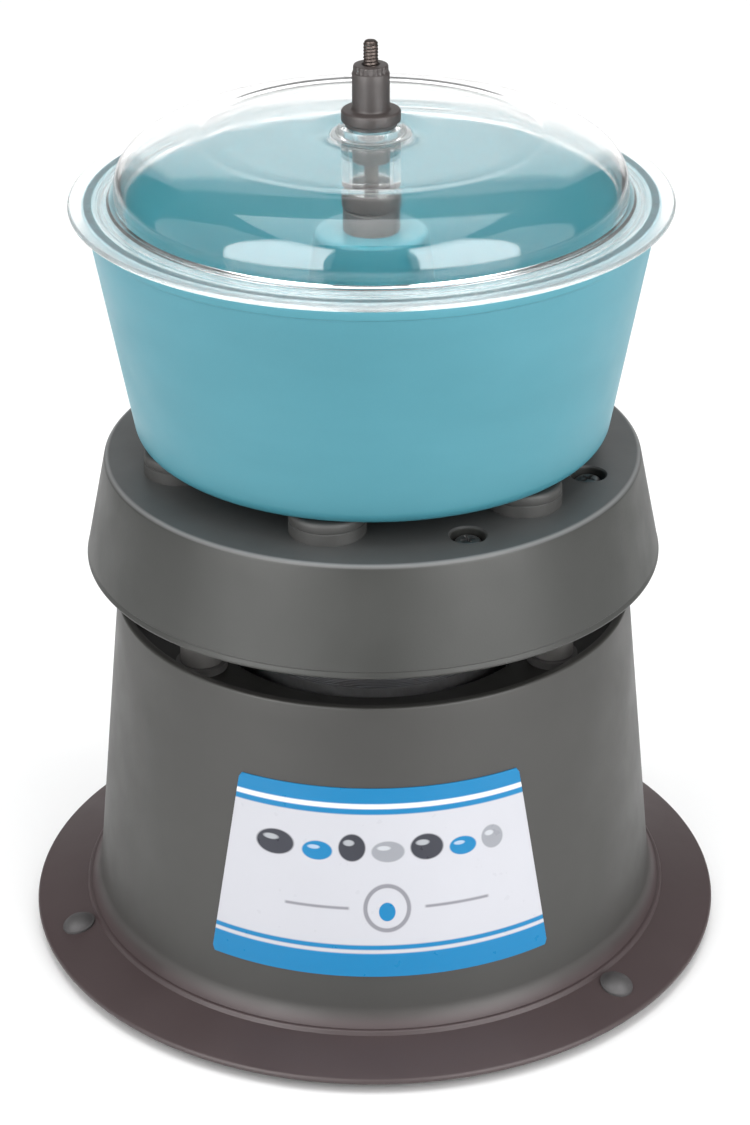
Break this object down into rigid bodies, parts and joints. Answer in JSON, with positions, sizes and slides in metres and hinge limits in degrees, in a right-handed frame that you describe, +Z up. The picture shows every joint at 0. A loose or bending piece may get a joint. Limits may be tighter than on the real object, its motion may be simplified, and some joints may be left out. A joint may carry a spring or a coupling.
{
  "type": "vibratory rock tumbler",
  "caption": "Vibratory rock tumbler: ring-shaped bowl with clear lid on a centre stud, sprung drive plate with eccentric motor, and a flared round base.",
  "frame": {"origin": "on the table, under the centre stud, at the middle of the round base", "axes": "+Z up along the stud, +X to the right, the label and front face -Y"},
  "size_m": [0.24, 0.24, 0.3134],
  "materials": {
    "base_plastic": "satin",
    "plate_plastic": "satin",
    "bowl_plastic": "satin",
    "clear_plastic": "polished",
    "bushing_plastic": "satin",
    "nut_plastic": "satin",
    "stud_steel": "satin",
    "screw_steel": "satin",
    "zinc_steel": "satin",
    "spring_steel": "satin",
    "black_rubber": "matte",
    "pad_rubber": "matte",
    "sleeve_rubber": "satin",
    "seat_plastic": "satin",
    "cast_aluminium": "matte",
    "lamination_steel": "matte",
    "copper_wire": "satin",
    "fan_plastic": "matte",
    "weight_steel": "matte",
    "label_sheet": "satin"
  },
  "bodies": {
    "base": {"base_shell": "base_plastic", "rubber_feet": "black_rubber", "cord_grommet": "black_rubber", "front_label": "label_sheet", "spring_lower_seats": "seat_plastic", "spring_anchor_screws": "zinc_steel", "coil_springs": "spring_steel", "spring_sleeves": "sleeve_rubber"},
    "drive": {"drive_plate": "plate_plastic", "spring_upper_caps": "seat_plastic", "bumper_pads": "pad_rubber", "centre_stud": "stud_steel", "stud_washers": "zinc_steel", "stud_nuts": "zinc_steel", "motor_rails": "zinc_steel", "rail_spacers": "cast_aluminium", "mount_screws": "screw_steel", "mount_nuts": "zinc_steel", "upper_end_bell": "cast_aluminium", "lower_end_bell": "cast_aluminium", "stator_core": "lamination_steel", "stator_windings": "copper_wire", "upper_bearing": "zinc_steel", "lower_bearing": "zinc_steel", "motor_through_bolts": "zinc_steel", "motor_bolt_nuts": "zinc_steel"},
    "rotor": {"motor_shaft": "zinc_steel", "rotor_core": "lamination_steel", "retaining_rings": "spring_steel", "cooling_fan": "fan_plastic", "eccentric_weight": "weight_steel", "weight_set_screw": "spring_steel"},
    "bowl": {"bowl": "bowl_plastic", "bowl_bushing": "bushing_plastic"},
    "bowl_nut": {"bowl_nut": "nut_plastic"},
    "lid": {"lid": "clear_plastic"},
    "lid_washer": {"lid_washer": "bushing_plastic"},
    "lid_nut": {"lid_nut": "nut_plastic"}
  },
  "joints": [
    {"name": "plate_bounce", "type": "slide", "parent": "base", "child": "drive", "axis": [0, 0, 1], "range_m": [-0.002, 0.002], "stiffness_N_per_m": 30000, "springref_m": 0.00092, "deforming": ["coil_springs", "spring_sleeves"]},
    {"name": "rotor_spin", "type": "hinge", "parent": "drive", "child": "rotor", "pos_m": [0, 0, 0.1], "axis": [0, 0, 1], "continuous": true},
    {"name": "bowl_lift", "type": "slide", "parent": "drive", "child": "bowl", "axis": [0, 0, 1], "range_m": [0, 0.14]},
    {"name": "bowl_nut_turn", "type": "hinge", "parent": "bowl", "child": "bowl_nut", "pos_m": [0, 0, 0.265], "axis": [0, 0, 1], "continuous": true},
    {"name": "lid_lift", "type": "slide", "parent": "bowl", "child": "lid", "axis": [0, 0, 1], "range_m": [0, 0.06]},
    {"name": "lid_nut_rise", "type": "slide", "parent": "lid", "child": "lid_washer", "axis": [0, 0, 1], "range_m": [0, 0.041]},
    {"name": "lid_nut_turn", "type": "hinge", "parent": "lid_washer", "child": "lid_nut", "pos_m": [0, 0, 0.29], "axis": [0, 0, 1], "range_deg": [0, 13860]}
  ],
  "couplings": [
    {"joint": "lid_nut_rise", "follows": "lid_nut_turn", "m_per_rad": 0.00016844}
  ]
}
